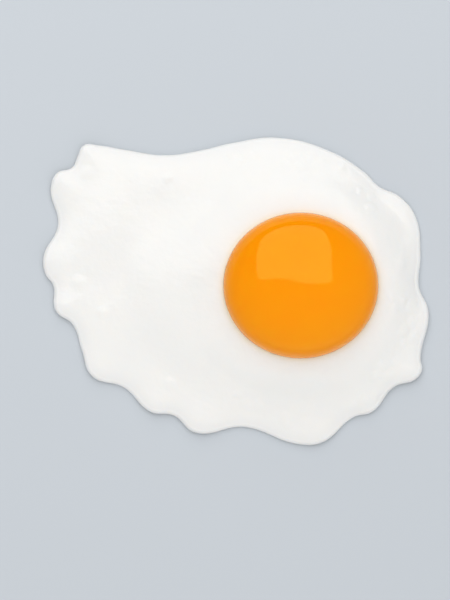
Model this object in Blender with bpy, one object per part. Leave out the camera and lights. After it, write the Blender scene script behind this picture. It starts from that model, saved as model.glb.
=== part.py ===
"""A fried egg, sunny side up: the set white with its lobed edge, and the yolk that lies in it.

Metres, +Z up. The origin is on the surface that the egg lies on, under the middle of the white.
The white is thin towards its edge and thick round the yolk, which it holds in a shallow bowl.
"""

import math

import bmesh
import bpy
from mathutils import Vector

MM = 0.001

# The yolk: a low dome over a flatter belly, both measured from its widest ring.
YOLK_LENGTH = 44.0 * MM
YOLK_WIDTH = 41.4 * MM
DOME_HEIGHT = 11.2 * MM
BELLY_DEPTH = 5.6 * MM
DOME_SQUARENESS = 2.1
BELLY_SQUARENESS = 2.8
YOLK_CENTRE = Vector((18.4, 1.6)) * MM

# The white: the thickness of its parts. It tapers from THIN_WHITE to its edge over EDGE_TAPER.
FLOOR_UNDER_YOLK = 1.3 * MM
EDGE_WHITE = 1.2 * MM
THIN_WHITE = 2.8 * MM
SHOULDER_HEIGHT = 5.6 * MM
LIP_HEIGHT = 7.1 * MM
EDGE_TAPER = 3.5 * MM
SEAT_GAP = 0.3 * MM

# The edge met the pan at its widest: it is barely rounded below, and well rounded above.
LOW_ROUNDING = 0.3 * MM
TOP_ROUNDING = 1.3 * MM

# Each lobe is a little fuller than the hollows beside it, and its tip has lifted as it set:
# LOBE_FULLNESS and LOBE_LIFT are shares of how far the lobe stands out.
LOBE_SPAN = 9.0 * MM
LOBE_RADIUS = 6.0 * MM
LOBE_FULLNESS = 0.16
LOBE_LIFT = 0.38
LIFT_SHARE = 0.30

# The thin white set in slow swells, not dead level. Each has a height, a length and a bearing.
SWELLS = (
    (0.12 * MM, 31.0 * MM, math.radians(20.0)),
    (0.09 * MM, 23.0 * MM, math.radians(75.0)),
    (0.08 * MM, 19.0 * MM, math.radians(140.0)),
)

# The thick white is an oval that lies off centre, as the yolk slid to one side of it. Its outline
# wavers: each wave has a count round the oval, a share of its size and a turn.
THICK_CENTRE = Vector((13.0, 1.0)) * MM
THICK_LENGTH = 76.0 * MM
THICK_WIDTH = 66.0 * MM
THICK_FALLS_FROM = 0.68
THICK_FALLS_TO = 1.18
THICK_WAVES = ((2, 0.05, 1.1), (3, 0.07, 0.6), (5, 0.035, 2.0))

# The white climbs to its lip from this many times the yolk's own size.
CLIMB_FROM = 1.6

# The edge, anticlockwise from the right, in millimetres from the middle: the tip of each lobe,
# the bottom of each hollow, and a point on each long side between them.
EDGE_POINTS = (
    (52.6, 1.2), (53.0, 10.5), (51.5, 21.5), (46.6, 27.4), (41.3, 29.9), (36.8, 34.2), (27.0, 40.2),
    (12.0, 44.0), (-1.0, 42.5), (-9.5, 40.5), (-20.0, 39.0), (-32.0, 40.6), (-39.0, 41.8),
    (-43.5, 41.8), (-45.3, 38.5), (-46.8, 35.5), (-51.2, 33.8), (-52.9, 29.5), (-50.9, 19.0),
    (-55.0, 9.8), (-54.4, 4.8), (-52.3, 1.8), (-51.5, -5.6), (-46.7, -9.5), (-44.0, -17.0),
    (-41.2, -24.2), (-32.0, -27.6), (-24.2, -34.6), (-17.7, -35.6), (-11.8, -40.4), (2.5, -38.9),
    (18.0, -43.8), (24.5, -43.4), (34.0, -36.0), (39.0, -34.6), (45.5, -27.4), (51.5, -25.2),
    (53.4, -22.4), (53.0, -19.5), (55.2, -5.5),
)

STEPS_PER_POINT = 4
LOW_ROUNDING_STEPS = 2
TOP_ROUNDING_STEPS = 5
TOP_STEPS = 10
EDGE_CROWDING = 1.5
UNDERSIDE_STEPS = 2
BOWL_STEPS = 7
YOLK_SEGMENTS = 48
YOLK_BANDS = 18
SHARP_ANGLE = math.radians(50.0)


def clear_scene():
    for item in list(bpy.data.objects):
        bpy.data.objects.remove(item, do_unlink=True)


def material(name, colour, roughness):
    """A Principled material with one colour, given as linear red, green and blue."""
    made = bpy.data.materials.new(name)
    made.use_nodes = True
    shader = made.node_tree.nodes["Principled BSDF"]
    shader.inputs["Base Color"].default_value = (*colour, 1.0)
    shader.inputs["Roughness"].default_value = roughness
    shader.inputs["Metallic"].default_value = 0.0
    made.diffuse_color = (*colour, 1.0)
    return made


def smoothstep(low, high, value):
    """The value's share of the way from low to high, eased at both ends."""
    share = min(1.0, max(0.0, (value - low) / (high - low)))
    return share * share * (3.0 - 2.0 * share)


def edge_outline(collection):
    """The white's edge as a closed ring of points: a smooth Bezier curve through EDGE_POINTS."""
    curve = bpy.data.curves.new("edge_guide", "CURVE")
    curve.dimensions = "2D"
    curve.fill_mode = "NONE"
    curve.resolution_u = STEPS_PER_POINT
    spline = curve.splines.new("BEZIER")
    spline.bezier_points.add(len(EDGE_POINTS) - 1)
    spline.use_cyclic_u = True
    for knot, (x, y) in zip(spline.bezier_points, EDGE_POINTS):
        knot.co = (x * MM, y * MM, 0.0)
        knot.handle_left_type = "AUTO"
        knot.handle_right_type = "AUTO"
    guide = bpy.data.objects.new("edge_guide", curve)
    guide.hide_render = True
    guide.display_type = "WIRE"
    collection.objects.link(guide)
    bpy.context.view_layer.update()
    graph = bpy.context.evaluated_depsgraph_get()
    flat = bpy.data.meshes.new_from_object(guide.evaluated_get(graph))
    ring = [vertex.co.xy for vertex in flat.vertices]
    bpy.data.meshes.remove(flat)
    low = Vector((min(p.x for p in ring), min(p.y for p in ring)))
    high = Vector((max(p.x for p in ring), max(p.y for p in ring)))
    return [p - (low + high) / 2 for p in ring]


def inset(ring, distance):
    """The ring moved inwards by a distance, each point square to the edge."""
    moved = []
    for i, point in enumerate(ring):
        along = (ring[(i + 1) % len(ring)] - ring[i - 1]).normalized()
        moved.append(point + Vector((-along.y, along.x)) * distance)
    return moved


def distance_to_edge(point, ring):
    """The shortest distance from a point to the closed ring."""
    shortest = math.inf
    for i, end in enumerate(ring):
        start = ring[i - 1]
        side = end - start
        share = min(1.0, max(0.0, (point - start).dot(side) / side.length_squared))
        shortest = min(shortest, (start + side * share - point).length)
    return shortest


def find_lobes(ring):
    """The tip of each lobe, and how far it stands out from the edge's average course beside it."""
    reach = [(point - YOLK_CENTRE).length for point in ring]
    sizes = []
    for own, point in zip(reach, ring):
        near = [r for r, other in zip(reach, ring) if (other - point).length < LOBE_SPAN]
        sizes.append(own - sum(near) / len(near))
    lobes = []
    for i, size in enumerate(sizes):
        if size > max(0.0, sizes[i - 1], sizes[(i + 1) % len(ring)]):
            lobes.append((ring[i], size))
    return lobes


def lobe_field(point, lobes):
    """How much of a lobe there is at a point: each fades from its tip over LOBE_RADIUS."""
    return sum(
        size * math.exp(-((point - tip).length_squared / LOBE_RADIUS**2)) for tip, size in lobes
    )


def swell(point):
    """The slow rise and fall of the thin white at a point."""
    total = 0.0
    for height, length, bearing in SWELLS:
        along = point.x * math.cos(bearing) + point.y * math.sin(bearing)
        total += height * math.sin(math.tau * along / length)
    return total


def thick_share(point):
    """How much of the thick white there is at a point, from 1 in its oval to 0 outside."""
    off = point - THICK_CENTRE
    bearing = math.atan2(off.y, off.x)
    waver = 1.0 + sum(size * math.sin(count * bearing + turn) for count, size, turn in THICK_WAVES)
    oval = math.hypot(off.x / (THICK_LENGTH / 2), off.y / (THICK_WIDTH / 2)) * waver
    return 1.0 - smoothstep(THICK_FALLS_FROM, THICK_FALLS_TO, oval)


def climb_share(point):
    """How far the white has climbed to its lip at a point, from 0 well away to 1 at the yolk."""
    off = point - YOLK_CENTRE
    ring = math.hypot(off.x / (YOLK_LENGTH / 2), off.y / (YOLK_WIDTH / 2))
    return 1.0 - smoothstep(1.0, CLIMB_FROM, ring)


def thickness(point, edge_distance, lobes):
    """The white's thickness: the thin sheet, its taper, lobes and swells, then the thick oval."""
    taper = (THIN_WHITE - EDGE_WHITE) * math.exp(-edge_distance / EDGE_TAPER)
    thin = THIN_WHITE - taper + LOBE_FULLNESS * lobe_field(point, lobes) + swell(point)
    sheet = thin + (SHOULDER_HEIGHT - THIN_WHITE) * thick_share(point)
    return sheet + (LIP_HEIGHT - sheet) * climb_share(point)


def lift(point, share, lobes):
    """How far the lobes have lifted at a point, at a share of the way from the edge to the yolk."""
    return LOBE_LIFT * lobe_field(point, lobes) * (1.0 - smoothstep(0.0, LIFT_SHARE, share))


def belly_share(depth_share):
    """The yolk belly's half width as a share of the widest, at a share of the belly's depth."""
    return (1.0 - depth_share**BELLY_SQUARENESS) ** (1.0 / BELLY_SQUARENESS)


def yolk_level():
    """The height of the yolk's widest ring."""
    return FLOOR_UNDER_YOLK + SEAT_GAP + BELLY_DEPTH


def bowl_ring(bearings, depth):
    """A ring of the bowl, this far under the yolk's widest ring, one point on each bearing."""
    share = belly_share(depth / (BELLY_DEPTH + SEAT_GAP))
    half_length = (YOLK_LENGTH / 2 + SEAT_GAP) * share
    half_width = (YOLK_WIDTH / 2 + SEAT_GAP) * share
    return [
        YOLK_CENTRE + Vector((half_length * math.cos(b), half_width * math.sin(b)))
        for b in bearings
    ]


def white_rings(edge):
    """Rings from the underside, round the edge, over the top and down into the yolk's bowl."""
    lobes = find_lobes(edge)
    shoulder = inset(edge, TOP_ROUNDING)
    bearings = [math.atan2(p.y - YOLK_CENTRE.y, p.x - YOLK_CENTRE.x) for p in shoulder]
    lip_depth = yolk_level() - LIP_HEIGHT
    lip = bowl_ring(bearings, lip_depth)

    def towards_yolk(start, share):
        return [outer.lerp(inner, share) for outer, inner in zip(start, lip)]

    rings = []
    foot = inset(edge, LOW_ROUNDING)
    for step in range(UNDERSIDE_STEPS, 0, -1):
        share = LIFT_SHARE * step / UNDERSIDE_STEPS
        rings.append([(p.x, p.y, lift(p, share, lobes)) for p in towards_yolk(foot, share)])

    edge_lift = [lift(p, 0.0, lobes) for p in foot]
    edge_thickness = [thickness(p, TOP_ROUNDING, lobes) for p in shoulder]
    for step in range(LOW_ROUNDING_STEPS):
        turn = math.pi / 2 * step / LOW_ROUNDING_STEPS
        plan = inset(edge, LOW_ROUNDING * (1.0 - math.sin(turn)))
        rise = LOW_ROUNDING * (1.0 - math.cos(turn))
        rings.append([(p.x, p.y, z + rise) for p, z in zip(plan, edge_lift)])
    for step in range(TOP_ROUNDING_STEPS + 1):
        turn = math.pi / 2 * step / TOP_ROUNDING_STEPS
        plan = inset(edge, TOP_ROUNDING * (1.0 - math.cos(turn)))
        ring = []
        for p, z, thick in zip(plan, edge_lift, edge_thickness):
            ring.append((p.x, p.y, z + LOW_ROUNDING + (thick - LOW_ROUNDING) * math.sin(turn)))
        rings.append(ring)

    for step in range(1, TOP_STEPS):
        share = (step / TOP_STEPS) ** EDGE_CROWDING
        ring = []
        for p in towards_yolk(shoulder, share):
            height = thickness(p, distance_to_edge(p, edge), lobes)
            ring.append((p.x, p.y, lift(p, share, lobes) + height))
        rings.append(ring)

    full_depth = BELLY_DEPTH + SEAT_GAP
    for step in range(BOWL_STEPS + 1):
        turn = math.pi / 2 * step / (BOWL_STEPS + 1)
        depth = lip_depth + (full_depth - lip_depth) * math.sin(turn)
        rings.append([(p.x, p.y, yolk_level() - depth) for p in bowl_ring(bearings, depth)])
    return rings


def loft(name, rings):
    """A closed skin through rings with equally many points: quads, and a flat face at each end."""
    skin = bmesh.new()
    loops = [[skin.verts.new(point) for point in ring] for ring in rings]
    for lower, upper in zip(loops, loops[1:]):
        for i in range(len(lower)):
            skin.faces.new((lower[i - 1], lower[i], upper[i], upper[i - 1]))
    skin.faces.new(reversed(loops[0]))
    skin.faces.new(loops[-1])
    mesh = bpy.data.meshes.new(name)
    skin.to_mesh(mesh)
    skin.free()
    return mesh


def add_object(mesh, collection, finish, parent, place):
    """A smooth-shaded object that carries the mesh, its finish, its parent and its place."""
    mesh.materials.append(finish)
    mesh.shade_smooth()
    mesh.set_sharp_from_angle(angle=SHARP_ANGLE)
    made = bpy.data.objects.new(mesh.name, mesh)
    made.location = place
    made.parent = parent
    collection.objects.link(made)
    return made


def build_white(collection, guides, parent):
    """The white: its skin lofted through rings that share the edge's points."""
    mesh = loft("egg_white", white_rings(edge_outline(guides)))
    finish = material("set_egg_white", (0.905, 0.896, 0.880), 0.40)
    return add_object(mesh, collection, finish, parent, (0.0, 0.0, 0.0))


def build_yolk(collection, parent):
    """A sphere reshaped to the dome above its widest ring and the flatter belly below it."""
    ball = bmesh.new()
    bmesh.ops.create_uvsphere(ball, u_segments=YOLK_SEGMENTS, v_segments=YOLK_BANDS, radius=1.0)
    for vertex in ball.verts:
        rise = max(-1.0, min(1.0, vertex.co.z))
        above = rise > 0.0
        height = DOME_HEIGHT if above else BELLY_DEPTH
        power = 2.0 / (DOME_SQUARENESS if above else BELLY_SQUARENESS)
        bearing = math.atan2(vertex.co.y, vertex.co.x)
        half = math.cos(math.asin(rise)) ** power
        vertex.co = (
            YOLK_LENGTH / 2 * half * math.cos(bearing),
            YOLK_WIDTH / 2 * half * math.sin(bearing),
            math.copysign(height * abs(rise) ** power, rise),
        )
    mesh = bpy.data.meshes.new("yolk")
    ball.to_mesh(mesh)
    ball.free()
    finish = material("runny_yolk", (0.991, 0.319, 0.010), 0.15)
    return add_object(mesh, collection, finish, parent, (*YOLK_CENTRE, yolk_level()))


def main():
    clear_scene()
    collection = bpy.data.collections.new("fried_egg")
    guides = bpy.data.collections.new("guides")
    bpy.context.scene.collection.children.link(collection)
    bpy.context.scene.collection.children.link(guides)
    egg = bpy.data.objects.new("fried_egg", None)
    collection.objects.link(egg)
    build_white(collection, guides, egg)
    build_yolk(collection, egg)


main()
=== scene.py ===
# %% [markdown]
# # A fried egg, sunny side up
#
# A fried egg is two things. The white is a runny jelly that sets in the pan into one opaque, springy
# sheet, thin towards its lobed edge and thick round the yolk. The yolk stays runny inside its own
# skin, and stands up out of the white as a low, glossy dome.
#
# The plain solids of both are already made at their real size, and are loaded here as a fixed
# frame. This lesson dresses them: it builds a fine surface in the place of each plain one, and gives
# each its finish. Everything is in metres, so sizes are written in millimetres times MM.

# %% Load the plain solids
import math

import bpy
import numpy as np
from mathutils import Matrix, Vector


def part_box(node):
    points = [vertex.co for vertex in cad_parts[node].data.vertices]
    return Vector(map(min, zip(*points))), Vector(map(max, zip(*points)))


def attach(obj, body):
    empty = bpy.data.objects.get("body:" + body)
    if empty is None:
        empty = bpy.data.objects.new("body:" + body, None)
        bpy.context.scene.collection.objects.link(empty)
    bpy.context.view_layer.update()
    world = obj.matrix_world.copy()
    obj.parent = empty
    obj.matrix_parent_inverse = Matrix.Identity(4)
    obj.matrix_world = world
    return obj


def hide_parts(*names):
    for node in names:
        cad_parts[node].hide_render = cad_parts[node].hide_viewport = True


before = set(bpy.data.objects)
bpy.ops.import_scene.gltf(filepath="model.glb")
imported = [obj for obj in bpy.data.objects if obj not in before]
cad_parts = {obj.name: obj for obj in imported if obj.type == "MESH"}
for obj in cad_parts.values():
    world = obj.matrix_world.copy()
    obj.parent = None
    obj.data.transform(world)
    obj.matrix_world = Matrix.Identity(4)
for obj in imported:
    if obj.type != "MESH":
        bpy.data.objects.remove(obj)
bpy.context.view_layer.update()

MM = 0.001
_, white_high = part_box("egg_white")
yolk_low, yolk_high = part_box("yolk")
yolk_centre = (yolk_low + yolk_high) / 2
print("yolk, mm:", [round(side / MM, 1) for side in yolk_high - yolk_low])

# %% [markdown]
# ## The camera
#
# The egg is looked at from straight above. Nearer things look larger through any lens, and the yolk
# stands closer to the camera than the white, so a long lens from well above the table keeps the two
# in proportion. An orthographic camera would do that too, but then the egg would look like a drawing
# of one from every other side. Blender lays the film's width along the picture's longer side, which
# is its height here. So the camera's distance from the white is the height of what it takes in, times
# the lens over the film. The egg lies a little right of the middle and a little above it.

# %% Put up the camera
LENS = 150.0
FILM = 36.0
PICTURE_HEIGHT = 171.5 * MM
EGG_OFF_MIDDLE = Vector((3.1, 2.5)) * MM
WHITE_LEVEL = 1.5 * MM

camera_data = bpy.data.cameras.new("overhead_camera")
camera_data.lens = LENS
camera_data.sensor_width = FILM
camera = bpy.data.objects.new("overhead_camera", camera_data)
camera_height = WHITE_LEVEL + PICTURE_HEIGHT * LENS / FILM
camera.location = (-EGG_OFF_MIDDLE.x, -EGG_OFF_MIDDLE.y, camera_height)
scene = bpy.context.scene
scene.collection.objects.link(camera)
scene.camera = camera
print("camera height, mm:", round(camera_height / MM))

# %% [markdown]
# ## Two small helpers
#
# Colours are easiest to read and to compare as the hex codes that painting programs show, but
# Blender's shaders work in linear light, so one function turns the first into the second. Node trees
# are built in the script, and one more function adds a node of any kind, sets its properties, and
# gives each of its inputs either a value or a link. It sets the nodes side by side, so that a tree
# can be read when it is opened in the editor.

# %% Colours and nodes
NODE_SPACING = 180


def linear(code):
    """A hex colour such as F4F3F1 as linear red, green, blue and alpha."""
    parts = [int(code[i : i + 2], 16) / 255 for i in (0, 2, 4)]
    return [p / 12.92 if p <= 0.04045 else ((p + 0.055) / 1.055) ** 2.4 for p in parts] + [1.0]


def add(tree, kind, inputs=None, **settings):
    """Add one node. Its settings are its own properties. Each of its inputs, by name or by place,
    gets a value, another node's first output, or the output given."""
    node = tree.nodes.new(kind)
    node.location.x = NODE_SPACING * len(tree.nodes)
    for name, value in settings.items():
        setattr(node, name, value)
    live = [socket for socket in node.inputs if socket.enabled]
    for key, value in (inputs or {}).items():
        socket = live[key] if isinstance(key, int) else next(s for s in live if s.name == key)
        if isinstance(value, bpy.types.Node):
            value = next(output for output in value.outputs if output.enabled)
        if isinstance(value, bpy.types.NodeSocket):
            tree.links.new(value, socket)
        else:
            socket.default_value = value
    return node


print("the grey 808080 in linear light:", round(linear("808080")[0], 3))

# %% [markdown]
# ## The walls
#
# Food is lit softly. Most of the light here comes from pale studio walls all round, which are the
# world's own colour. A white card stands on the near side of the table, a little to the right, so the
# walls grow brighter towards it, and the slopes of the yolk on that side don't fall into shade. The
# display stays plain ("Standard"), because a film-like one would turn a clean orange dull.

# %% Paint the walls
CARD_SIDE = 1.10
OTHER_SIDE = 0.11
CARD_BEARING = math.radians(-77.0)

scene.view_settings.view_transform = "Standard"
scene.world = bpy.data.worlds.new("pale_studio")
scene.world.use_nodes = True
tree = scene.world.node_tree
tree.nodes.clear()
around = add(tree, "ShaderNodeTexCoord").outputs["Generated"]
card_way = (math.cos(CARD_BEARING), math.sin(CARD_BEARING), 0.0)
to_card = add(tree, "ShaderNodeVectorMath", {0: around, 1: card_way}, operation="DOT_PRODUCT")
brightness = add(
    tree, "ShaderNodeMapRange",
    {"Value": to_card, "From Min": -1.0, "To Min": OTHER_SIDE, "To Max": CARD_SIDE},
)
walls = add(tree, "ShaderNodeBackground", {"Color": linear("FFFFFF"), "Strength": brightness})
add(tree, "ShaderNodeOutputWorld", {"Surface": walls})
print("walls, at the card and opposite it:", CARD_SIDE, OTHER_SIDE)

# %% [markdown]
# ## The softbox
#
# One large softbox stands beyond the egg. It picks out the white's low swells, and its reflection
# lies on the yolk as one pale patch, from the top of the dome towards the far side. A dome of this
# height tilts its far slopes by nearly 40 degrees, which turns a reflection by twice as much, so a
# patch that size needs a softbox that reaches from overhead nearly down to the table. Its sizes are in
# metres and its power in watts, which are spread over its whole face.

# %% Hang the softbox
SOFTBOX_TURN = math.radians(40.3)
SOFTBOX_DISTANCE = 1.25
SOFTBOX_WIDTH = 1.78
SOFTBOX_HEIGHT = 1.87
SOFTBOX_POWER = 18.0
SOFTBOX_ASIDE = -0.20

softbox_data = bpy.data.lights.new("softbox", "AREA")
softbox_data.shape = "RECTANGLE"
softbox_data.size = SOFTBOX_WIDTH
softbox_data.size_y = SOFTBOX_HEIGHT
softbox_data.energy = SOFTBOX_POWER
softbox = bpy.data.objects.new("softbox", softbox_data)
away = Vector((0.0, math.sin(SOFTBOX_TURN), math.cos(SOFTBOX_TURN))) * SOFTBOX_DISTANCE
softbox.location = yolk_centre + away + Vector((SOFTBOX_ASIDE, 0.0, 0.0))
softbox.rotation_euler = (-SOFTBOX_TURN, 0.0, 0.0)
softbox.visible_camera = False
scene.collection.objects.link(softbox)
print("softbox stands at, m:", [round(place, 2) for place in softbox.location])

# %% [markdown]
# A real softbox has a cloth face with round corners, and this one narrows a little towards its far,
# low end. A few nodes on the light draw that. Each point of the face is first measured from the
# middle, as a share of the way to the side and to the end. A superellipse of those two shares then
# rounds the corners, a little at the near end, which hangs overhead, and more at the far one.

# %% Round the softbox's face
FAR_END_WIDTH = 0.87
FAR_CORNERS = 4.3
NEAR_CORNERS = 12.0
FACE_FADES_FROM = 0.8

softbox_data.use_nodes = True
tree = softbox_data.node_tree
tree.nodes.clear()
on_face = add(tree, "ShaderNodeNewGeometry").outputs["Parametric"]
_, farness, _ = add(tree, "ShaderNodeSeparateXYZ", {0: on_face}).outputs
nearness = add(tree, "ShaderNodeMath", {0: 1.0, 1: farness}, operation="SUBTRACT")
centred = add(tree, "ShaderNodeVectorMath", {0: on_face, 1: (0.5, 0.5, 0.0)}, operation="SUBTRACT")
doubled = add(tree, "ShaderNodeVectorMath", {0: centred, "Scale": 2.0}, operation="SCALE")
mirrored = add(tree, "ShaderNodeVectorMath", {0: doubled}, operation="ABSOLUTE")
aside, endways, _ = add(tree, "ShaderNodeSeparateXYZ", {0: mirrored}).outputs
eased = add(tree, "ShaderNodeMath", {0: nearness, 1: nearness}, operation="MULTIPLY")
width = add(tree, "ShaderNodeMapRange", {"Value": eased, "To Min": FAR_END_WIDTH})
corners = add(
    tree, "ShaderNodeMapRange", {"Value": nearness, "To Min": FAR_CORNERS, "To Max": NEAR_CORNERS}
)
narrowed = add(tree, "ShaderNodeMath", {0: aside, 1: width}, operation="DIVIDE")
side_part = add(tree, "ShaderNodeMath", {0: narrowed, 1: corners}, operation="POWER")
end_part = add(tree, "ShaderNodeMath", {0: endways, 1: corners}, operation="POWER")
outwards = add(tree, "ShaderNodeMath", {0: side_part, 1: end_part}, operation="ADD")
glow = add(
    tree, "ShaderNodeMapRange",
    {"Value": outwards, "From Min": FACE_FADES_FROM, "To Min": 1.0, "To Max": 0.0},
)
lit_cloth = add(tree, "ShaderNodeEmission", {"Strength": glow})
add(tree, "ShaderNodeOutputLight", {"Surface": lit_cloth})
print("softbox face:", len(tree.nodes), "nodes")

# %% [markdown]
# ## The table
#
# The egg lies on a plain pale table top, a painted board with a matt finish. It is a shade greyer
# than the egg, so that the white's outline stands out against it. It is large enough to fill every
# view, and a hair lower than the egg's underside, so that the two never share one plane. The table
# isn't part of the egg. A new material comes with nodes of its own. Each one in this lesson is
# emptied first, so that all that is in it is put there by the script.

# %% Lay the table
TABLE_SIDE = 16.0
TABLE_DROP = 0.05 * MM


def new_finish(name):
    """A new material with nothing in it yet, and its node tree."""
    finish = bpy.data.materials.new(name)
    finish.use_nodes = True
    finish.node_tree.nodes.clear()
    return finish, finish.node_tree


table_finish, tree = new_finish("matt_painted_board")
paint = add(tree, "ShaderNodeBsdfPrincipled", {"Base Color": linear("C4CAD0"), "Roughness": 0.85})
add(tree, "ShaderNodeOutputMaterial", {"Surface": paint})

bpy.ops.mesh.primitive_plane_add(size=TABLE_SIDE, location=(0.0, 0.0, -TABLE_DROP))
table = bpy.context.active_object
table.name = "table_top"
table.data.materials.append(table_finish)
print("table, m:", TABLE_SIDE)

# %% [markdown]
# ## The edge of the white
#
# The white runs out in the pan until its edge sets, and the edge keeps the lobes and hollows that it
# had at that moment. No formula gives them, so they are drawn as a designer would draw them: a
# smooth closed curve through chosen points, at the tip of each lobe, at the bottom of each hollow,
# and along the longer stretches between them. Blender's own Bezier curve does the drawing.

# %% Draw the edge
EDGE_POINTS = (
    (52.6, 1.2), (53.0, 10.5), (51.5, 21.5), (46.6, 27.4), (41.3, 29.9), (36.8, 34.2), (27.0, 40.2),
    (12.0, 44.0), (-1.0, 42.5), (-9.5, 40.5), (-20.0, 39.0), (-32.0, 40.6), (-39.0, 41.8),
    (-43.5, 41.8), (-45.3, 38.5), (-46.8, 35.5), (-51.2, 33.8), (-52.9, 29.5), (-50.9, 19.0),
    (-55.0, 9.8), (-54.4, 4.8), (-52.3, 1.8), (-51.5, -5.6), (-46.7, -9.5), (-44.0, -17.0),
    (-41.2, -24.2), (-32.0, -27.6), (-24.2, -34.6), (-17.7, -35.6), (-11.8, -40.4), (2.5, -38.9),
    (18.0, -43.8), (24.5, -43.4), (34.0, -36.0), (39.0, -34.6), (45.5, -27.4), (51.5, -25.2),
    (53.4, -22.4), (53.0, -19.5), (55.2, -5.5),
)


def edge_ring(steps):
    """The edge as a closed ring of points, this many from each chosen point to the next."""
    curve = bpy.data.curves.new("edge_guide", "CURVE")
    curve.dimensions = "2D"
    curve.fill_mode = "NONE"
    curve.resolution_u = steps
    spline = curve.splines.new("BEZIER")
    spline.bezier_points.add(len(EDGE_POINTS) - 1)
    spline.use_cyclic_u = True
    for knot, (x, y) in zip(spline.bezier_points, EDGE_POINTS):
        knot.co = (x * MM, y * MM, 0.0)
        knot.handle_left_type = "AUTO"
        knot.handle_right_type = "AUTO"
    guide = bpy.data.objects.new("edge_guide", curve)
    scene.collection.objects.link(guide)
    graph = bpy.context.evaluated_depsgraph_get()
    flat = bpy.data.meshes.new_from_object(guide.evaluated_get(graph))
    ring = np.array([vertex.co.xy for vertex in flat.vertices])
    bpy.data.meshes.remove(flat)
    bpy.data.curves.remove(curve)
    return ring - (ring.min(axis=0) + ring.max(axis=0)) / 2


print("the edge goes through", len(EDGE_POINTS), "chosen points")

# %% [markdown]
# The curve's points crowd where its bends are, so they are read off again equally far apart, because
# a fine surface wants evenly sized faces. Each point's way inwards, square to the edge, is kept too:
# the edge's rounding and the surface behind it start from there.

# %% Space the points evenly
FINE_STEPS = 24
COLUMNS = 640


def evenly_spaced(ring, count):
    """The same closed ring with this many points, equally far apart along it."""
    closed = np.vstack([ring, ring[:1]])
    run = np.concatenate([[0.0], np.cumsum(np.linalg.norm(np.diff(closed, axis=0), axis=1))])
    stops = np.linspace(0.0, run[-1], count, endpoint=False)
    return np.stack([np.interp(stops, run, closed[:, axis]) for axis in (0, 1)], axis=1)


edge = evenly_spaced(edge_ring(FINE_STEPS), COLUMNS)
edge_step = edge - np.roll(edge, 1, axis=0)
along = np.roll(edge, -1, axis=0) - np.roll(edge, 1, axis=0)
inward = np.stack([-along[:, 1], along[:, 0]], axis=1) / np.linalg.norm(along, axis=1)[:, None]
print("edge, mm:", round(np.linalg.norm(edge_step, axis=1).sum() / MM), "in", COLUMNS, "steps")

# %% [markdown]
# ## Where the lobes are
#
# Each lobe of the edge set a little fuller than the hollows beside it, and its tip curled up from the
# pan. Both effects fade away from the tip of the lobe, so each lobe is a soft round bump on a map of
# the egg. A tip is a point that stands further out from the yolk than the edge's average beside it,
# and by more than the points next to it do.

# %% Find the lobes
LOBE_STEPS = 4
LOBE_SPAN = 9.0 * MM
LOBE_RADIUS = 6.0 * MM
yolk_xy = np.array(yolk_centre.xy)


def find_lobes():
    """The tip of each lobe, and how far it stands out from the edge's average beside it."""
    ring = edge_ring(LOBE_STEPS)
    reach = np.linalg.norm(ring - yolk_xy, axis=1)
    near = np.linalg.norm(ring[:, None] - ring, axis=2) < LOBE_SPAN
    size = reach - (near * reach).sum(axis=1) / near.sum(axis=1)
    is_tip = (size > np.roll(size, 1)) & (size > np.roll(size, -1)) & (size > 0.0)
    return list(zip(ring[is_tip], size[is_tip]))


lobes = find_lobes()


def lobe_field(points):
    """How much of a lobe there is at each point."""
    total = np.zeros(len(points))
    for tip, size in lobes:
        total += size * np.exp(-(((points - tip) ** 2).sum(axis=1)) / LOBE_RADIUS**2)
    return total


print(len(lobes), "lobes, the largest", round(max(size for _, size in lobes) / MM, 1), "mm")

# %% [markdown]
# ## Thin white and thick white
#
# A fresh egg has two kinds of white. The thin one runs out flat and sets in slow swells, and the
# thick one stays in an oval mound about the yolk, whose outline wavers in a few long waves, each
# given by its count, its size and its turn. These functions are maps too: each says how high a swell
# is, or how much of the mound there is, at any point of the egg. They are the sums that the plain
# solid was made with, worked out here for whole arrays of points at once.

# %% Map the swells and the mound
SWELLS = ((0.12, 31.0, 20.0), (0.09, 23.0, 75.0), (0.08, 19.0, 140.0))
THICK_CENTRE = np.array((13.0, 1.0)) * MM
THICK_HALVES = np.array((38.0, 33.0)) * MM
THICK_FALLS = (0.68, 1.18)
THICK_WAVES = ((2, 0.05, 1.1), (3, 0.07, 0.6), (5, 0.035, 2.0))


def smoothstep(low, high, value):
    """The value's share of the way from low to high, eased at both ends."""
    share = np.clip((value - low) / (high - low), 0.0, 1.0)
    return share * share * (3.0 - 2.0 * share)


def swell(points):
    """The slow rise and fall of the thin white, from swells of a height, a length and a bearing."""
    total = np.zeros(len(points))
    for height, length, degrees in SWELLS:
        bearing = math.radians(degrees)
        run = points @ np.array((math.cos(bearing), math.sin(bearing)))
        total += height * MM * np.sin(math.tau * run / (length * MM))
    return total


def thick_share(points):
    """How much of the thick white there is, from 1 in its wavering oval to 0 outside it."""
    off = points - THICK_CENTRE
    bearing = np.arctan2(off[:, 1], off[:, 0])
    waver = 1.0 + sum(size * np.sin(count * bearing + turn) for count, size, turn in THICK_WAVES)
    return 1.0 - smoothstep(*THICK_FALLS, np.linalg.norm(off / THICK_HALVES, axis=1) * waver)


print("mound, mm:", (2 * THICK_HALVES / MM).tolist())

# %% [markdown]
# ## How thick the white is
#
# The height of the white is a sum: a thin sheet that tapers to its edge, a little more in each lobe,
# the swells, then the mound, and last the climb to the yolk.

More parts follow.
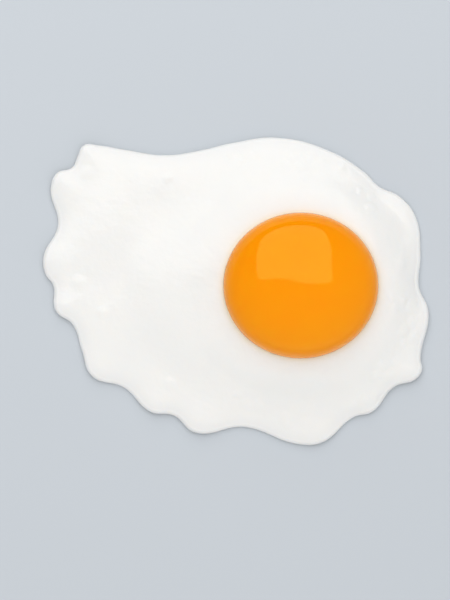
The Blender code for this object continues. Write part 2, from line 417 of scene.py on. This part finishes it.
# %% Work out the thickness
EDGE_WHITE = 1.2 * MM
THIN_WHITE = 2.8 * MM
SHOULDER_HEIGHT = 5.6 * MM
LIP_HEIGHT = white_high.z
EDGE_TAPER = 3.5 * MM
LOBE_FULLNESS = 0.16
LOBE_LIFT = 0.38
LIFT_SHARE = 0.30
CLIMB_FROM = 1.6
yolk_halves = np.array((yolk_high - yolk_low).xy) / 2


def distance_to_edge(points):
    """The shortest distance from each point to the edge."""
    off = points[:, None] - np.roll(edge, 1, axis=0)
    share = np.clip((off * edge_step).sum(axis=2) / (edge_step**2).sum(axis=1), 0.0, 1.0)
    return np.linalg.norm(off - edge_step * share[..., None], axis=2).min(axis=1)


def thickness(points, edge_distance):
    """The white's thickness at each point."""
    taper = (THIN_WHITE - EDGE_WHITE) * np.exp(-edge_distance / EDGE_TAPER)
    thin = THIN_WHITE - taper + LOBE_FULLNESS * lobe_field(points) + swell(points)
    sheet = thin + (SHOULDER_HEIGHT - THIN_WHITE) * thick_share(points)
    ring = np.linalg.norm((points - yolk_xy) / yolk_halves, axis=1)
    return sheet + (LIP_HEIGHT - sheet) * (1.0 - smoothstep(1.0, CLIMB_FROM, ring))


def lift(points, share):
    """How far the lobes have curled up, at a share of the way from the edge to the yolk."""
    return LOBE_LIFT * lobe_field(points) * (1.0 - smoothstep(0.0, LIFT_SHARE, share))


print("lobes curl up by as much as", round(lift(edge, 0.0).max() / MM, 2), "mm")

# %% [markdown]
# ## The yolk's bowl
#
# The white holds the yolk in a shallow bowl. The yolk's belly is a superellipse, a little squarer
# than an ellipse, and the bowl follows it just outside. Where the white ends against the yolk it
# climbs its skin in a small meniscus, as water climbs the side of a glass, and its lip reaches a
# quarter of a millimetre into the yolk, so that no gap shows between the two.

# %% Shape the bowl
BELLY_SQUARENESS = 2.8
DOME_SHARE = 2 / 3
BOWL_GAP = 0.3 * MM
LIP_TOUCH = 0.25 * MM
MENISCUS_HEIGHT = 0.6 * MM
MENISCUS_WIDTH = 1.1 * MM

bearings = np.arctan2(edge[:, 1] - yolk_xy[1], edge[:, 0] - yolk_xy[0])
yolk_level = yolk_high.z - (yolk_high.z - yolk_low.z) * DOME_SHARE
belly_depth = yolk_level - yolk_low.z


def yolk_ring(level, clearance):
    """A ring round the yolk's belly at this height, this far outside its skin."""
    depth_share = min(1.0, max(0.0, (yolk_level - level) / (belly_depth + clearance)))
    share = (1.0 - depth_share**BELLY_SQUARENESS) ** (1.0 / BELLY_SQUARENESS)
    turns = np.stack([np.cos(bearings), np.sin(bearings)], axis=1)
    return yolk_xy + (yolk_halves + clearance) * share * turns


lip = yolk_ring(LIP_HEIGHT, -LIP_TOUCH)
print("yolk's widest ring, mm up:", round(yolk_level / MM, 1))

# %% [markdown]
# ## The skin of the white
#
# The white is one closed skin, and it can be lofted like a boat's hull: rings of points, each with as
# many points as the edge, joined by strips of quads. They start under the yolk, run out along the
# underside, round the edge, in over the top, and down into the bowl. A sculpted or remeshed blob
# would do too, but rings keep the faces in line with the edge, where the eye looks first. Each point
# also keeps four numbers for later: its distance from the edge, and how much it belongs to the top,
# to the side that lay on the pan, and to the thin film next to the yolk, which also carries a painted
# orange glow from the yolk.

# %% Start with the underside
UNDERSIDE_ROWS = 54
LOW_ROUNDING = 0.3 * MM
TOP_ROUNDING = 1.3 * MM

foot = edge + inward * LOW_ROUNDING
shoulder = edge + inward * TOP_ROUNDING
rows, from_edge, on_top, on_pan, by_yolk = [], [], [], [], []


def add_row(plan, height, distance, top=0.0, pan=0.0, film_and_glow=0.0):
    """One more ring, with each point's distance from the edge and its share of top, pan, or film and
    painted glow.
    """
    rows.append(np.column_stack([plan, np.broadcast_to(height, COLUMNS)]))
    for kept, values in ((from_edge, distance), (on_top, top), (on_pan, pan), (by_yolk, film_and_glow)):
        kept.append(np.broadcast_to(values, COLUMNS))


for step in range(UNDERSIDE_ROWS, 0, -1):
    share = (step - 0.5) / UNDERSIDE_ROWS
    plan = foot + (yolk_xy - foot) * share
    add_row(plan, lift(plan, share), distance_to_edge(plan), pan=1.0)
print(len(rows), "rings under the egg")

# %% [markdown]
# The edge set flat against the pan, so it is barely rounded below and well rounded above: two
# quarter turns, one small and one large.

# %% Round the edge
LOW_ROUNDING_ROWS = 4
TOP_ROUNDING_ROWS = 9

edge_lift = lift(foot, 0.0)
edge_thickness = thickness(shoulder, np.full(COLUMNS, TOP_ROUNDING))
for step in range(LOW_ROUNDING_ROWS):
    turn = math.pi / 2 * step / LOW_ROUNDING_ROWS
    distance = LOW_ROUNDING * (1.0 - math.sin(turn))
    height = edge_lift + LOW_ROUNDING * (1.0 - math.cos(turn))
    add_row(edge + inward * distance, height, distance, pan=math.cos(turn))

for step in range(TOP_ROUNDING_ROWS + 1):
    turn = math.pi / 2 * step / TOP_ROUNDING_ROWS
    distance = TOP_ROUNDING * (1.0 - math.cos(turn))
    height = edge_lift + LOW_ROUNDING + (edge_thickness - LOW_ROUNDING) * math.sin(turn)
    add_row(edge + inward * distance, height, distance, top=1.0)
print(len(rows), "rings with the edge")

# %% [markdown]
# The rings over the top crowd towards the edge and towards the yolk, where the surface bends most.
# The last few go down between the white and the yolk, out of sight, and close the skin.

# %% Go over the top and into the bowl
TOP_ROWS = 80
BOWL_ROWS = 6
EDGE_CROWDING = 1.25
YOLK_CROWDING = 1.25
LIP_CALM = 2.0 * MM
FILM_AND_GLOW_WIDTH = 0.6 * MM

# Near the yolk each ring's film share also places a painted orange glow on the white.
for step in range(1, TOP_ROWS + 1):
    share = 1.0 - (1.0 - (step / TOP_ROWS) ** EDGE_CROWDING) ** YOLK_CROWDING
    plan = shoulder + (lip - shoulder) * share
    distance = distance_to_edge(plan)
    from_lip = np.linalg.norm(plan - lip, axis=1)
    climb = MENISCUS_HEIGHT * np.exp(-from_lip / MENISCUS_WIDTH)
    height = lift(plan, share) + thickness(plan, distance) + climb
    calm_lip = smoothstep(0.0, LIP_CALM, from_lip)
    add_row(plan, height, distance, top=calm_lip, film_and_glow=np.exp(-from_lip / FILM_AND_GLOW_WIDTH))

bowl_top = LIP_HEIGHT - BOWL_GAP
bowl_floor = yolk_low.z - BOWL_GAP
for step in range(1, BOWL_ROWS + 1):
    turn = math.pi / 2 * step / (BOWL_ROWS + 1)
    level = bowl_top - (bowl_top - bowl_floor) * math.sin(turn)
    add_row(yolk_ring(level, BOWL_GAP), level, from_edge[-1], film_and_glow=1.0)
print(len(rows), "rings of", COLUMNS, "points")

# %% [markdown]
# Now the rings are joined. Each quad takes two points of one ring and the same two of the next, in an
# order that turns every face outwards, and the last point of a ring is joined to its first, so there
# is no seam. A fan of triangles round one middle point closes each end.

# %% Join the rings
def lofted(name, rings):
    """A closed mesh through the rings, with a point in the middle of the first and the last."""
    points = np.vstack([rings[0].mean(axis=0), *rings, rings[-1].mean(axis=0)])
    first = 1 + COLUMNS * np.arange(len(rings))[:, None]
    here = np.arange(COLUMNS)
    after = (here + 1) % COLUMNS
    low, high = first[:-1], first[1:]
    quads = np.stack([low + here, low + after, high + after, high + here], axis=2).reshape(-1, 4)
    last = len(points) - 1
    ends = [(0, b, a) for a, b in zip(1 + here, 1 + after)]
    ends += [(last, first[-1, 0] + a, first[-1, 0] + b) for a, b in zip(here, after)]
    mesh = bpy.data.meshes.new(name)
    mesh.from_pydata(points.tolist(), [], quads.tolist() + ends)
    return mesh


white_skin = lofted("white_skin", rows)
print("white skin:", len(white_skin.polygons), "faces")

# %% [markdown]
# The relief that comes later must die out at the very edge, which stays clean, and blisters belong
# in a band a few millimetres in from it, where the white is thin and boils first. So three more maps
# are worked out for the relief. They are kept on the mesh as attributes, next to the three numbers
# that the finish will read.

# %% Keep the numbers on the mesh
EDGE_CALM = (0.8 * MM, 2.6 * MM)
BLISTER_BAND = (5.5 * MM, 3.5 * MM)


def keep_numbers(mesh, name, values):
    """Store one number per point on a mesh."""
    attribute = mesh.attributes.new(name, "FLOAT", "POINT")
    attribute.data.foreach_set("value", np.ascontiguousarray(values, np.float32))


def ends_too(kept):
    """The numbers of every ring as one array, with those of the two end points."""
    return np.concatenate([kept[0][:1], *kept, kept[-1][:1]])


inside = ends_too(from_edge)
calm_edge = smoothstep(*EDGE_CALM, inside)
band = np.exp(-(((inside - BLISTER_BAND[0]) / BLISTER_BAND[1]) ** 2))
top_side = ends_too(on_top) * calm_edge
keep_numbers(white_skin, "from_edge", inside)
keep_numbers(white_skin, "pan_side", ends_too(on_pan))
keep_numbers(white_skin, "yolk_film_and_glow", ends_too(by_yolk))
keep_numbers(white_skin, "top_relief", top_side)
keep_numbers(white_skin, "pan_relief", ends_too(on_pan) * calm_edge)
keep_numbers(white_skin, "blister_share", top_side * band)
print("kept on the skin:", [attribute.name for attribute in white_skin.attributes])

# %% [markdown]
# ## Running a node tree on a mesh
#
# Geometry Nodes are usually dropped on an object and left there. Here each tree is built by the
# script, run once, and its result kept as a plain mesh, so that nothing is left to go wrong when
# the egg is used elsewhere. The sizes that a tree works with are its named inputs. Every tree begins
# and ends in the same way, so two functions do that: the last steps make real meshes of any
# instances, and give them their material.

# %% Make and end a tree
def new_tree(name, sizes, counts=()):
    """A Geometry Nodes tree with a mesh and a material going in, and named sizes and counts."""
    tree = bpy.data.node_groups.new(name, "GeometryNodeTree")
    tree.interface.new_socket("Geometry", in_out="OUTPUT", socket_type="NodeSocketGeometry")
    tree.interface.new_socket("Geometry", in_out="INPUT", socket_type="NodeSocketGeometry")
    tree.interface.new_socket("Material", in_out="INPUT", socket_type="NodeSocketMaterial")
    for label in sizes:
        tree.interface.new_socket(label, in_out="INPUT", socket_type="NodeSocketFloat")
    for label in counts:
        tree.interface.new_socket(label, in_out="INPUT", socket_type="NodeSocketInt")
    return tree, add(tree, "NodeGroupInput").outputs


def end_tree(tree, shape, material):
    """Finish a tree: real meshes in place of instances, the material, and the way out."""
    real = add(tree, "GeometryNodeRealizeInstances", {"Geometry": shape})
    coated = add(tree, "GeometryNodeSetMaterial", {"Geometry": real, "Material": material})
    add(tree, "NodeGroupOutput", {"Geometry": coated})


print("node trees in the file so far:", len(bpy.data.node_groups))

# %% [markdown]
# A tree is run by a modifier. Blender knows a modifier's inputs by short identifiers, which it hands
# out itself, and not by the names that people see, so the identifier is looked up from the name. All
# the inputs are set before the object is first worked out, and afterwards the modifier is taken off.

# %% Run a tree
def run_tree(name, tree, start, values):
    """A new object whose plain mesh is what the tree makes of the start mesh, which is used up."""
    thing = bpy.data.objects.new(name, start)
    scene.collection.objects.link(thing)
    modifier = thing.modifiers.new(name, "NODES")
    modifier.node_group = tree
    for item in tree.interface.items_tree:
        if item.in_out == "INPUT" and item.name in values:
            modifier[item.identifier] = values[item.name]
    graph = bpy.context.evaluated_depsgraph_get()
    made = bpy.data.meshes.new_from_object(thing.evaluated_get(graph), depsgraph=graph)
    thing.modifiers.clear()
    thing.data = made
    bpy.data.meshes.remove(start)
    made.name = name
    made.shade_smooth()
    print(name, "has", len(made.polygons), "faces")
    return thing


# %% [markdown]
# ## The finish of set egg white
#
# Cooked egg white is a firm gel, full of clumps of protein about as small as the waves of light,
# which scatter it and turn the gel from clear to opaque white. Light goes a millimetre or so in
# before it comes back, which softens every small shadow (Subsurface). The gel is mostly water, so it
# bends light little more than water does (IOR 1.38), and a thin moist film lies on it (Coat). Where
# it is thin it looks a little greyer, and where it is thick a little whiter. The side that lay on the
# pan is a little creamier. Where the white thins out on the yolk's skin the yolk shows through, and
# the warm tint there is also a painted orange glow, which stands in for the light that the yolk
# throws onto the white beside it. Those places could be painted on a picture and wrapped round the
# mesh, but the mesh already knows where they are, so the nodes mix the colours by its own numbers.

# %% Mix the white's colours
CLOUD_SIZE = 9.0 * MM
THIN_EDGE_WIDTH = 4.0 * MM

white_finish, tree = new_finish("set_egg_white")
own = add(tree, "ShaderNodeTexCoord").outputs["Object"]
clouds = add(tree, "ShaderNodeTexNoise", {"Vector": own, "Scale": 1.0 / CLOUD_SIZE, "Detail": 3.0})
cloudy = add(
    tree, "ShaderNodeMix", {"Factor": clouds, "A": linear("EBEBE9"), "B": linear("F0EFEC")},
    data_type="RGBA",
)
near_edge = add(tree, "ShaderNodeAttribute", attribute_name="from_edge").outputs["Fac"]
thinness = add(
    tree, "ShaderNodeMapRange",
    {"Value": near_edge, "From Max": THIN_EDGE_WIDTH, "To Min": 1.0, "To Max": 0.0},
)
tinted = add(
    tree, "ShaderNodeMix", {"Factor": thinness, "A": cloudy, "B": linear("E9E9E8")},
    data_type="RGBA",
)
pan_side = add(tree, "ShaderNodeAttribute", attribute_name="pan_side").outputs["Fac"]
two_sided = add(
    tree, "ShaderNodeMix", {"Factor": pan_side, "A": tinted, "B": linear("ECE7DA")},
    data_type="RGBA",
)
# The warm tint by the yolk is partly the yolk showing through the thin film, and partly a painted glow
# of the yolk's orange light on the white.
film_and_glow = add(tree, "ShaderNodeAttribute", attribute_name="yolk_film_and_glow").outputs["Fac"]
warmed = add(
    tree, "ShaderNodeMix", {"Factor": film_and_glow, "A": two_sided, "B": linear("FBDFA6")},
    data_type="RGBA",
)
print("colours mixed by", len(tree.nodes), "nodes")

# %% [markdown]
# The gel is damper in some places than in others, which the roughness follows. As the gel sets it
# shrinks, and its skin puckers into soft dimples a millimetre or two across, which break up what it
# mirrors. They are too low to change the outline, so a bump draws them, on the gel and on its film
# alike. The gel's own grain is about a tenth of a millimetre, too fine to show, so it is drawn here
# more than four times as coarse.

# %% Mix the white's gloss and grain
DAMP_PATCH = 3.0 * MM
WHITE_ROUGHNESS = (0.30, 0.46)
PUCKER_SIZE = 1.6 * MM
PUCKER_HEIGHT = 0.05 * MM
GRAIN_SIZE = 0.45 * MM
GRAIN_HEIGHT = 0.012 * MM

damp = add(tree, "ShaderNodeTexNoise", {"Vector": own, "Scale": 1.0 / DAMP_PATCH, "Detail": 4.0})
roughness = add(
    tree, "ShaderNodeMapRange",
    {"Value": damp, "To Min": WHITE_ROUGHNESS[0], "To Max": WHITE_ROUGHNESS[1]},
)
puckers = add(tree, "ShaderNodeTexNoise", {"Vector": own, "Scale": 1.0 / PUCKER_SIZE, "Detail": 1.0})
puckered = add(tree, "ShaderNodeBump", {"Height": puckers, "Distance": PUCKER_HEIGHT})
grain = add(tree, "ShaderNodeTexNoise", {"Vector": own, "Scale": 1.0 / GRAIN_SIZE, "Detail": 2.0})
grained = add(
    tree, "ShaderNodeBump", {"Height": grain, "Distance": GRAIN_HEIGHT, "Normal": puckered}
)
gel = add(tree, "ShaderNodeBsdfPrincipled", {
    "Base Color": warmed,
    "Roughness": roughness,
    "Normal": grained,
    "IOR": 1.38,
    "Subsurface Weight": 0.6,
    "Subsurface Radius": (1.0, 0.9, 0.8),
    "Subsurface Scale": 1.0 * MM,
    "Coat Weight": 1.0,
    "Coat Roughness": 0.12,
    "Coat IOR": 1.34,
    "Coat Normal": puckered,
})
add(tree, "ShaderNodeOutputMaterial", {"Surface": gel})
print(white_finish.name, "has", len(tree.nodes), "nodes")

# %% [markdown]
# ## Bumps scattered over a surface
#
# Steam rises through the white as it sets. Here and there it lifts the skin into a low blister, in
# the thin white near the edge, and under the egg it leaves shallow pits against the pan. A texture's
# bump could fake both, but then they would vanish from the mesh and from the outline, so Geometry
# Nodes move the real surface. A spot is put where each bump shall be, and every vertex near one rises
# by how close it lies. The distance is measured from a place that noise has shifted a little, so no
# blister is a true circle.

# %% Raise a bump at each spot
WAVER_SIZE = 2.2 * MM
WAVER_REACH = 1.6 * MM


def bump_height(tree, given, kind, spots):
    """The height, at each vertex, of the bump that stands on the nearest of these spots."""
    waver = add(tree, "ShaderNodeTexNoise", {"Scale": 1.0 / WAVER_SIZE, "Detail": 1.0})
    shift = add(
        tree, "ShaderNodeVectorMath", {0: waver.outputs["Color"], 1: (0.5, 0.5, 0.5)},
        operation="SUBTRACT",
    )
    scaled = add(tree, "ShaderNodeVectorMath", {0: shift, "Scale": WAVER_REACH}, operation="SCALE")
    here = add(tree, "GeometryNodeInputPosition")
    place = add(tree, "ShaderNodeVectorMath", {0: here, 1: scaled}, operation="ADD")
    distance = add(
        tree, "GeometryNodeProximity", {0: spots, "Sample Position": place}, target_element="POINTS"
    ).outputs["Distance"]
    nearest = add(
        tree, "GeometryNodeSampleNearest", {0: spots, "Sample Position": place}, domain="POINT"
    )
    radius = add(tree, "GeometryNodeInputNamedAttribute", {"Name": "radius"}, data_type="FLOAT")
    its_radius = add(
        tree, "GeometryNodeSampleIndex", {"Geometry": spots, "Value": radius, "Index": nearest},
        data_type="FLOAT", domain="POINT",
    )
    share = add(tree, "ShaderNodeMath", {0: distance, 1: its_radius}, operation="DIVIDE")
    square = add(tree, "ShaderNodeMath", {0: share, 1: share}, operation="MULTIPLY")
    left = add(tree, "ShaderNodeMath", {0: 1.0, 1: square}, operation="SUBTRACT", use_clamp=True)
    dome = add(tree, "ShaderNodeMath", {0: left, 1: 2.0}, operation="POWER")
    size = add(
        tree, "ShaderNodeMath", {0: its_radius, 1: given[f"Largest {kind}"]}, operation="DIVIDE"
    )
    sized = add(tree, "ShaderNodeMath", {0: dome, 1: size}, operation="MULTIPLY")
    return add(tree, "ShaderNodeMath", {0: sized, 1: given[f"{kind} Height"]}, operation="MULTIPLY")


print("noise shifts a bump's rim by up to, mm:", round(WAVER_REACH / 2 / MM, 1))

# %% [markdown]
# The spots are scattered over the skin, never closer than a set spacing. There are more of them where
# a map of the skin asks for them and where clouds of noise are bright, so they come in clusters, and
# each one has a size of its own.

# %% Scatter bumps
CLUSTER_FADE = (0.42, 0.62)
MOST_SPOTS = 1e7


def scattered_bumps(tree, given, kind, wanted):
    """How high the bumps of a kind stand at each vertex. They are scattered where wanted is high."""
    share = add(tree, "GeometryNodeInputNamedAttribute", {"Name": wanted}, data_type="FLOAT")
    patch = add(tree, "ShaderNodeMath", {0: 1.0, 1: given["Cluster Size"]}, operation="DIVIDE")
    clusters = add(tree, "ShaderNodeTexNoise", {"Scale": patch, "Detail": 1.0})
    clustered = add(
        tree, "ShaderNodeMapRange",
        {"Value": clusters, "From Min": CLUSTER_FADE[0], "From Max": CLUSTER_FADE[1]},
    )
    density = add(tree, "ShaderNodeMath", {0: share, 1: clustered}, operation="MULTIPLY")
    spots = add(
        tree, "GeometryNodeDistributePointsOnFaces",
        {"Mesh": given["Geometry"], "Distance Min": given[f"{kind} Spacing"],
         "Density Max": MOST_SPOTS, "Density Factor": density, "Seed": given["Seed"]},
        distribute_method="POISSON",
    )
    radius = add(
        tree, "FunctionNodeRandomValue",
        {"Min": given[f"Smallest {kind}"], "Max": given[f"Largest {kind}"], "Seed": given["Seed"]},
        data_type="FLOAT",
    )
    sized = add(
        tree, "GeometryNodeStoreNamedAttribute", {"Geometry": spots, "Name": "radius", "Value": radius},
        data_type="FLOAT", domain="POINT",
    )
    return bump_height(tree, given, kind, sized)


print("spots for each square metre, before the spacing thins them:", f"{MOST_SPOTS:.0e}")

# %% [markdown]
# ## Relief on the white
#
# The whole relief is one tree: faint ripples and blisters on the top, pits under the egg, each faded
# by the map that was kept on the mesh, and all of it added along the surface's own normal.

# %% Build the relief's tree
relief_sizes = ["Ripple Height", "Ripple Size", "Cluster Size"]
for kind in ("Blister", "Pit"):
    relief_sizes += [f"{kind} Spacing", f"{kind} Height", f"Smallest {kind}", f"Largest {kind}"]
tree, given = new_tree("white_relief", relief_sizes, counts=["Seed"])

fineness = add(tree, "ShaderNodeMath", {0: 1.0, 1: given["Ripple Size"]}, operation="DIVIDE")
noise = add(tree, "ShaderNodeTexNoise", {"Scale": fineness, "Detail": 2.0})
evened = add(tree, "ShaderNodeMapRange", {"Value": noise, "To Min": -1.0, "To Max": 1.0})
ripple = add(tree, "ShaderNodeMath", {0: evened, 1: given["Ripple Height"]}, operation="MULTIPLY")
blisters = scattered_bumps(tree, given, "Blister", "blister_share")
raised = add(tree, "ShaderNodeMath", {0: ripple, 1: blisters}, operation="ADD")
top_map = add(tree, "GeometryNodeInputNamedAttribute", {"Name": "top_relief"}, data_type="FLOAT")
top = add(tree, "ShaderNodeMath", {0: raised, 1: top_map}, operation="MULTIPLY")
pits = scattered_bumps(tree, given, "Pit", "pan_relief")
pan_map = add(tree, "GeometryNodeInputNamedAttribute", {"Name": "pan_relief"}, data_type="FLOAT")
pan = add(tree, "ShaderNodeMath", {0: pits, 1: pan_map}, operation="MULTIPLY")
height = add(tree, "ShaderNodeMath", {0: top, 1: pan}, operation="SUBTRACT")
normal = add(tree, "GeometryNodeInputNormal")
offset = add(tree, "ShaderNodeVectorMath", {0: normal, "Scale": height}, operation="SCALE")
moved = add(tree, "GeometryNodeSetPosition", {"Geometry": given["Geometry"], "Offset": offset})
end_tree(tree, moved, given["Material"])
relief_tree = tree
print("relief tree:", len(tree.nodes), "nodes")

# %% [markdown]
# The tree is run on the white's skin with the real sizes. A blister on an egg is 3 to 6 mm across and
# a few tenths of a millimetre high, and the pits are a little larger. The ripples are lower still,
# and show only as a slight unevenness in the gloss.

# %% Raise the relief
egg_white = run_tree("set_white", relief_tree, white_skin, {
    "Material": white_finish,
    "Ripple Height": 0.09 * MM,
    "Ripple Size": 6.0 * MM,
    "Cluster Size": 16.0 * MM,
    "Blister Spacing": 3.4 * MM,
    "Blister Height": 0.28 * MM,
    "Smallest Blister": 1.3 * MM,
    "Largest Blister": 3.0 * MM,
    "Pit Spacing": 4.5 * MM,
    "Pit Height": 0.30 * MM,
    "Smallest Pit": 1.6 * MM,
    "Largest Pit": 3.4 * MM,
    "Seed": 11,
})

# %% [markdown]
# ## The finish of the yolk
#
# Egg yolk is a thick emulsion of fat in water, coloured by what the hen has eaten, here a strong
# warm orange. Light goes further into it than into the white, and comes back redder (Subsurface).
# Its skin is smooth and wet, which makes it the glossiest part of the egg, so its roughness is low.
# Fat bends light more than water does, so the yolk mirrors a little more than the white. A real yolk
# has an IOR of about 1.42, which is raised to 1.50 here to let the softbox show. A clear skin mirrors
# without a colour of its own, but a pale reflection would make the orange under it look milky, so the
# reflections are tinted yellow (Specular Tint). The colour isn't quite even: the yolk is laid down in
# the hen a layer a day, and shows faint paler clouds.

# %% Mix the yolk
YOLK_CLOUD = 13.0 * MM
YOLK_ROUGHNESS = (0.045, 0.075)

yolk_finish, tree = new_finish("runny_yolk")
own = add(tree, "ShaderNodeTexCoord").outputs["Object"]
clouds = add(tree, "ShaderNodeTexNoise", {"Vector": own, "Scale": 1.0 / YOLK_CLOUD, "Detail": 2.0})
colour = add(
    tree, "ShaderNodeMix", {"Factor": clouds, "A": linear("FF9300"), "B": linear("FF9A00")},
    data_type="RGBA",
)
roughness = add(
    tree, "ShaderNodeMapRange",
    {"Value": clouds, "To Min": YOLK_ROUGHNESS[0], "To Max": YOLK_ROUGHNESS[1]},
)
wet_yolk = add(tree, "ShaderNodeBsdfPrincipled", {
    "Base Color": colour,
    "Roughness": roughness,
    "IOR": 1.50,
    "Specular Tint": (1.0, 1.0, 0.2, 1.0),
    "Subsurface Weight": 0.5,
    "Subsurface Radius": (1.0, 0.45, 0.15),
    "Subsurface Scale": 2.5 * MM,
})
add(tree, "ShaderNodeOutputMaterial", {"Surface": wet_yolk})
print(yolk_finish.name, "has", len(tree.nodes), "nodes")

# %% [markdown]
# ## The yolk
#
# The yolk's shape follows a rule: every level cut through it is an oval of the same proportions, and
# its profile is a superellipse, higher above its widest ring than below. So it can be made wholly by
# nodes, from a ball whose points are moved to where the rule puts them. First come the heights: a
# point that lies at height z on the ball goes to z to the power of 2 over the squareness, times the
# dome's height or the belly's depth.

# %% Build the yolk's heights
yolk_sizes = [
    "Length", "Width", "Dome Height", "Belly Depth", "Dome Squareness", "Belly Squareness",
    "Wave Height", "Wave Length", "Wave Bearing", "Wave Start",
]
tree, given = new_tree("yolk_shape", yolk_sizes, ["Segments", "Bands"])
ball = add(tree, "GeometryNodeMeshUVSphere", {"Segments": given["Segments"], "Rings": given["Bands"]})
place = add(tree, "GeometryNodeInputPosition")
x, y, z = add(tree, "ShaderNodeSeparateXYZ", {0: place}).outputs
above = add(tree, "ShaderNodeMath", {0: z, 1: 0.0}, operation="GREATER_THAN")
size = add(
    tree, "ShaderNodeMix", {"Factor": above, "A": given["Belly Depth"], "B": given["Dome Height"]}
)
squareness = add(
    tree, "ShaderNodeMix",
    {"Factor": above, "A": given["Belly Squareness"], "B": given["Dome Squareness"]},
)
power = add(tree, "ShaderNodeMath", {0: 2.0, 1: squareness}, operation="DIVIDE")
steepness = add(tree, "ShaderNodeMath", {0: z}, operation="ABSOLUTE")
rise = add(tree, "ShaderNodeMath", {0: steepness, 1: power}, operation="POWER")
side = add(tree, "ShaderNodeMath", {0: z}, operation="SIGN")
signed = add(tree, "ShaderNodeMath", {0: rise, 1: side}, operation="MULTIPLY")
level = add(tree, "ShaderNodeMath", {0: signed, 1: size}, operation="MULTIPLY")
print("yolk tree, with its heights:", len(tree.nodes), "nodes")

# %% [markdown]
# Then the widths: the ball's own distance from its axis is raised to the same power, and stretched
# to half the yolk's length one way and half its width the other. A pole lies on the axis itself, where
# that sum would divide by nothing, so no distance is taken to be quite zero.

# %% Build the yolk's widths
NEARLY_NOTHING = 1e-6

flat = add(tree, "ShaderNodeCombineXYZ", {0: x, 1: y})
reach = add(tree, "ShaderNodeVectorMath", {0: flat}, operation="LENGTH")
off_pole = add(tree, "ShaderNodeMath", {0: reach, 1: NEARLY_NOTHING}, operation="MAXIMUM")
extra = add(tree, "ShaderNodeMath", {0: power, 1: 1.0}, operation="SUBTRACT")
widened = add(tree, "ShaderNodeMath", {0: off_pole, 1: extra}, operation="POWER")
halved = add(tree, "ShaderNodeMath", {0: widened, 1: 0.5}, operation="MULTIPLY")
long_way = add(tree, "ShaderNodeMath", {0: halved, 1: given["Length"]}, operation="MULTIPLY")
wide_way = add(tree, "ShaderNodeMath", {0: halved, 1: given["Width"]}, operation="MULTIPLY")
ruled = add(tree, "ShaderNodeCombineXYZ", {
    0: add(tree, "ShaderNodeMath", {0: x, 1: long_way}, operation="MULTIPLY"),
    1: add(tree, "ShaderNodeMath", {0: y, 1: wide_way}, operation="MULTIPLY"),
    2: level,
})
egg_shaped = add(tree, "GeometryNodeSetPosition", {"Geometry": ball, "Position": ruled})
print("yolk tree, with its widths:", len(tree.nodes), "nodes")

# %% [markdown]
# The yolk's skin isn't quite taut, and lies in very low waves. They are far too low to see as shapes,
# and show only in how they bend the edge of a reflection. One train of straight waves is enough for
# that. They fade out at the widest ring, which keeps the oval clean.

# %% Build the waves in its skin
now = add(tree, "GeometryNodeInputPosition")
turned = add(
    tree, "ShaderNodeVectorRotate", {"Vector": now, "Angle": given["Wave Bearing"]},
    rotation_type="Z_AXIS", invert=True,
)
run = add(tree, "ShaderNodeSeparateXYZ", {0: turned})
count = add(tree, "ShaderNodeMath", {0: run, 1: given["Wave Length"]}, operation="DIVIDE")
begun = add(tree, "ShaderNodeMath", {0: count, 1: given["Wave Start"]}, operation="ADD")
angle = add(tree, "ShaderNodeMath", {0: begun, 1: math.tau}, operation="MULTIPLY")
sine = add(tree, "ShaderNodeMath", {0: angle}, operation="SINE")
wave = add(tree, "ShaderNodeMath", {0: sine, 1: given["Wave Height"]}, operation="MULTIPLY")
up = add(tree, "ShaderNodeSeparateXYZ", {0: now}).outputs["Z"]
slack = add(
    tree, "ShaderNodeMath", {0: up, 1: given["Dome Height"]}, operation="DIVIDE", use_clamp=True
)
faded = add(tree, "ShaderNodeMath", {0: wave, 1: slack}, operation="MULTIPLY")
offset = add(tree, "ShaderNodeCombineXYZ", {2: faded})
waved = add(tree, "GeometryNodeSetPosition", {"Geometry": egg_shaped, "Offset": offset})
end_tree(tree, waved, given["Material"])
yolk_tree = tree
print("yolk tree, whole:", len(tree.nodes), "nodes")

# %% [markdown]
# The tree needs nothing to start from, so it is run on an empty mesh. The yolk's length, width and
# height come from the plain solid. The tree makes it about the middle of its own widest ring, and the
# finished mesh is then moved to its place in the white.

# %% Shape the yolk
yolk = run_tree("yolk_dome", yolk_tree, bpy.data.meshes.new("nothing_yet"), {
    "Material": yolk_finish,
    "Length": yolk_high.x - yolk_low.x,
    "Width": yolk_high.y - yolk_low.y,
    "Dome Height": yolk_high.z - yolk_level,
    "Belly Depth": belly_depth,
    "Dome Squareness": 2.1,
    "Belly Squareness": BELLY_SQUARENESS,
    "Wave Height": 0.026 * MM,
    "Wave Length": 7.7 * MM,
    "Wave Bearing": math.radians(103.4),
    "Wave Start": 0.51,
    "Segments": 192,
    "Bands": 120,
})
yolk.data.transform(Matrix.Translation((*yolk_xy, yolk_level)))
print("yolk top, mm:", round(max(v.co.z for v in yolk.data.vertices) / MM, 2))

# %% [markdown]
# ## Put the pieces in the frame
#
# Each fine piece now stands for its plain solid, which is hidden but still carries the weight and the
# touch of the egg. Both pieces ride on the one body, since food has no joints.

# %% Dress the frame
for piece, node in ((egg_white, "egg_white"), (yolk, "yolk")):
    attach(piece, "root")
    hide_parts(node)
